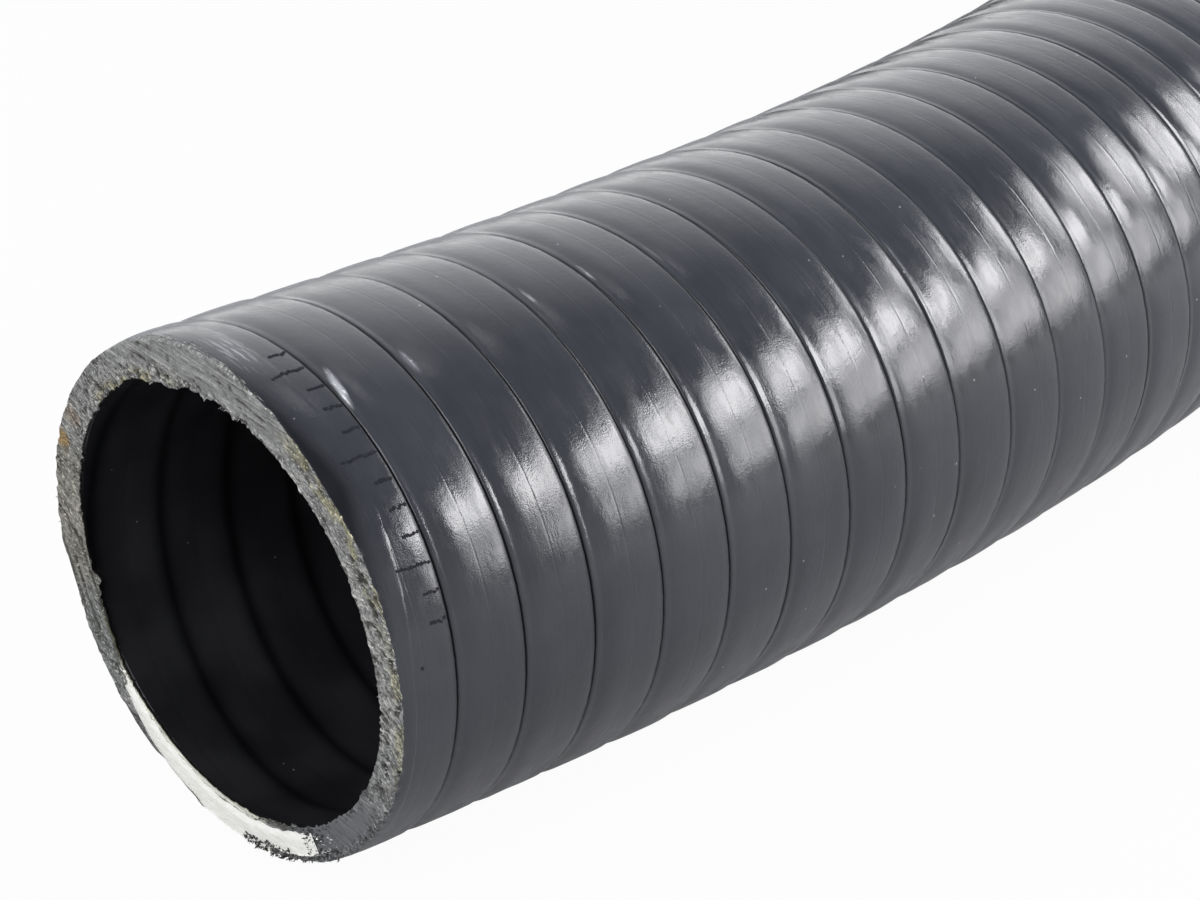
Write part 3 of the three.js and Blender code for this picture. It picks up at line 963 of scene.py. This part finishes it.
def make_helix():
    laps = np.concatenate([np.arange(low, high, 1 / columns) for low, high, columns in HELIX_LENGTHS])
    share, mm = np.array(HELIX_SECTION).T
    lap, x = np.meshgrid(laps, share, indexing="ij")
    _, r = np.meshgrid(laps, mm, indexing="ij")
    # Away from the near cut the rod's foot stays clear of the bore
    r = np.where((r < 39) & ((lap < -0.5) | (lap > 0.5)), 39.25, r)
    turn = lap % 1
    near_it = (lap > -0.5) & (lap < 0.5)
    # Where the saw ran along it the rod swells, and its inner edge is frayed
    outside = step(41.0, 42.5, r) * near_it
    bulge = 0.75 * span(turn, -0.03, 0.045, 0.006) * outside + 0.25 * span(turn, 0.045, 0.1, 0.01) * outside
    fray = 0.5 * (round_noise(turn, 240, 61) - 0.4) * step(40.0, 38.7, r) * near_it
    r = (r + bulge + fray) * MM
    # The saw left the rod's last stretch wider than the rest
    begun = step(0, 0.004, lap + 0.086 - 0.022 * noise(r / MM * 1.9, 0, 64))
    x = x + 0.075 * step(0.1, 0.2, x) * begun * (1 - step(0.026, 0.034, lap)) * near_it
    along = (lap + x) * PITCH
    # Trimmed a little proud of the cuts, and unevenly
    rough = 0.10 * noise(lap * 55, r / MM * 1.2, 62) + 0.06 * noise(lap * 190, r / MM * 4, 63)
    low = near_cut(turn, r) - (0.12 + rough) * MM
    high = far_cut(turn, r) + (0.12 + rough) * MM
    points = place(np.clip(along, low, high), turn, r).reshape(-1, 3)
    before, after = (along <= low).all(axis=1), (along >= high).all(axis=1)
    n = len(share)
    faces, uv = [], []
    for i in range(len(laps) - 1):
        if (before[i] and before[i + 1]) or (after[i] and after[i + 1]):
            continue
        for j in range(n):
            k = (j + 1) % n
            faces.append([i * n + j, (i + 1) * n + j, (i + 1) * n + k, i * n + k])
            here, on = j / n, (j + 1) / n
            uv.append([(here, laps[i]), (here, laps[i + 1]), (on, laps[i + 1]), (on, laps[i])])
    used, faces = used_only(points, faces)
    return make("white_helix", points[used], faces, rigid_plastic, uv=np.array(uv))


white_helix = make_helix()


# Rows of the liner, fine where the bore is seen: from, to and spacing, as shares of its length
LINER_ROWS = [(0, 0.07, 0.0003), (0.07, 0.96, 0.0034), (0.96, 1.0, 0.0004)]
LINER_COLUMNS = 80
LINER_OUTSIDE_ROWS = 75
# How far its ends lie behind the cuts, under the lips of the sawn faces
LINER_SET_BACK = 0.65 * MM


def make_liner():
    column = np.arange(LINER_COLUMNS + 1) / LINER_COLUMNS
    low = near_cut(column, BORE_R) + LINER_SET_BACK
    high = far_cut(column, BORE_R) - LINER_SET_BACK
    low[-1], high[-1] = low[0], high[0]
    rows = np.concatenate([np.arange(*row) for row in LINER_ROWS] + [[1.0]])
    inside = low + (high - low) * rows[:, None]
    outside = low + (high - low) * np.linspace(1, 0, LINER_OUTSIDE_ROWS)[:, None]
    along = np.vstack([inside, outside])
    radius = np.vstack([bore_radius(inside, column), LINER_R + 0 * outside])
    radius[:, -1] = radius[:, 0]
    turn = np.broadcast_to(column, along.shape)
    points, faces, uv = ring_grid(along, turn, radius, outward=False, closed=True)
    # Painted shade: a narrow dark crease in a broad one at each turn's step
    crease = np.abs((along / PITCH - turn - BORE_STEP + 0.5) % 1 - 0.5)
    deep = 0.35 * np.exp(-((crease / 0.045) ** 2)) + 0.65 * np.exp(-((crease / 0.13) ** 2))
    return make("bore_liner", points, faces, bore_liner, uv=uv, deep=deep[:, :-1].reshape(-1))


bore_liner_piece = make_liner()


def make_ticks():
    """Plain ticks of ink dots across the first rib, at even steps, as on goods sold by the metre."""
    # Each tick is a row of dots along the hose, and each fourth one is longer
    dots = []
    for k in range(12):
        count = 10 if k % 4 == 1 else 5
        dots += [(0.53 + k * 0.0165, 0.93 - j * 0.047) for j in range(count)]
    # and one stray dot
    dots.append((0.735, 0.515))
    rng = np.random.default_rng(9)
    points, faces = [], []
    sides = 10
    for turn, x in dots:
        turn, x = turn + rng.normal(0, 0.0004), x + rng.normal(0, 0.004)
        size = rng.uniform(0.24, 0.33) * MM
        angle = np.arange(sides) / sides * 2 * np.pi
        wobble = 1 + 0.18 * rng.normal(size=sides)
        centre = (-1 + turn + x + SEAM_SHIFT) * PITCH
        along = centre + size * 1.25 * wobble * np.cos(angle)
        turns = turn + size * wobble * np.sin(angle) / (2 * np.pi * CROWN_R)
        along = np.append(along, centre)
        turns = np.append(turns, turn)
        first = len(points) * (sides + 1)
        radius = skin_radius(along, turns) + 0.05 * MM
        points.append(place(along, turns, radius))
        faces += [[first + sides, first + (i + 1) % sides, first + i] for i in range(sides)]
    return make("length_ticks", np.vstack(points), faces, marking_ink)


length_ticks = make_ticks()

# Each piece rides on the root body, and the imported parts it replaces are hidden
for piece, slot in (
    (cover_skin, "soft_grey"),
    (near_sawn_end, "soft_grey"),
    (far_sawn_end, "soft_grey"),
    (white_helix, "rigid_white"),
    (bore_liner_piece, "liner_black"),
    (length_ticks, "liner_black"),
):
    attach(piece, "root")
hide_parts("cover")
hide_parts("rigid_helix")
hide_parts("inner_liner")


# The studio: a pale floor, soft lamps and a pale room
def make_floor():
    n = Nodes("studio_floor")
    solid = n.add("ShaderNodeTexCoord").outputs["Object"]
    faint = n.noise(solid, 3.0, 2.0)
    colour = n.mix(n.ease(faint, 0.3, 0.7), (0.50, 0.50, 0.50, 1), (0.53, 0.53, 0.53, 1))
    n.finish(Base_Color=colour, Roughness=0.9)
    # The camera sees it white, and faintly the hose's shadow on it
    ray = n.add("ShaderNodeLightPath")
    glow = n.add("ShaderNodeEmission", {"Color": (1, 1, 1, 1), "Strength": 1.0})
    seen = n.add("ShaderNodeMixShader", {0: n.math("MULTIPLY", ray.outputs["Is Camera Ray"], 0.96)})
    n.tree.links.new(n.shader.outputs[0], seen.inputs[1])
    n.tree.links.new(glow.outputs[0], seen.inputs[2])
    n.tree.links.new(seen.outputs[0], n.tree.nodes["Material Output"].inputs["Surface"])
    size, drop = 4.0, 0.4 * MM
    corners = [(-size, -size), (size, -size), (size, size), (-size, size)]
    points = np.array([(x, y, -drop) for x, y in corners])
    floor = make("studio_floor", points, [[0, 1, 2, 3]], n.material)


make_floor()


def lamp(name, azimuth, elevation, distance, width, height, strength, target=(-0.25, -0.22, 0.05)):
    """A rectangular soft lamp. Azimuth and elevation point from the target to the lamp, in degrees."""
    a, e = math.radians(azimuth), math.radians(elevation)
    way = Vector((math.cos(e) * math.cos(a), math.cos(e) * math.sin(a), math.sin(e)))
    light = bpy.data.lights.new(name, "AREA")
    light.shape = "RECTANGLE"
    light.size, light.size_y = width, height
    # A face of this size and radiance gives this power
    light.energy = strength * math.pi * width * height
    light.color = (0.985, 0.98, 1.0)
    made = bpy.data.objects.new(name, light)
    made.location = Vector(target) + way * distance
    made.rotation_euler = (-way).to_track_quat("-Z", "Y").to_euler()
    bpy.context.scene.collection.objects.link(made)


# At the right one near the cut, with a low skirt, and one further on. Above a weak one, in front a broad one.
lamp("near_lamp", -47, 26, 1.5, 0.72, 0.34, 14.5)
lamp("near_lamp_skirt", -42, 10, 1.5, 0.9, 0.32, 6.5)
lamp("far_lamp", -14, 23, 1.5, 0.42, 0.46, 9.2)
lamp("top_lamp", 12, 72, 1.5, 0.4, 0.25, 1.2)
lamp("front_lamp", 205, 38, 1.7, 1.1, 1.1, 4.9)


def make_room():
    """A pale room, greyer above, with a bright wall behind the hose at the left. The camera sees it white."""
    world = bpy.context.scene.world or bpy.data.worlds.new("room")
    bpy.context.scene.world = world
    world.use_nodes = True
    tree = world.node_tree
    tree.nodes.clear()
    out, sky, white, ray, mix, where, split, ramp, toward, glow, lit = (
        tree.nodes.new("ShaderNode" + kind)
        for kind in (
            "OutputWorld", "Background", "Background", "LightPath", "MixShader", "TexCoord",
            "SeparateXYZ", "ValToRGB", "VectorMath", "MapRange", "VectorMath",
        )
    )
    white.inputs[0].default_value = (1, 1, 1, 1)
    marks = ramp.color_ramp.elements
    marks[0].position, marks[0].color = 0.0, (0.7, 0.7, 0.71, 1)
    marks[1].position, marks[1].color = 0.62, (0.31, 0.34, 0.40, 1)
    toward.operation = "DOT_PRODUCT"
    toward.inputs[1].default_value = (0.255, 0.951, 0.174)
    glow.interpolation_type = "SMOOTHSTEP"
    for socket, value in ((1, 0.3), (2, 0.85), (3, 0.0), (4, 1.2)):
        glow.inputs[socket].default_value = value
    lit.operation = "ADD"
    for output, socket in (
        (where.outputs["Generated"], split.inputs[0]),
        (split.outputs[2], ramp.inputs[0]),
        (where.outputs["Generated"], toward.inputs[0]),
        (toward.outputs["Value"], glow.inputs[0]),
        (ramp.outputs[0], lit.inputs[0]),
        (glow.outputs[0], lit.inputs[1]),
        (lit.outputs[0], sky.inputs[0]),
        (ray.outputs["Is Camera Ray"], mix.inputs[0]),
        (sky.outputs[0], mix.inputs[1]),
        (white.outputs[0], mix.inputs[2]),
        (mix.outputs[0], out.inputs[0]),
    ):
        tree.links.new(output, socket)


make_room()
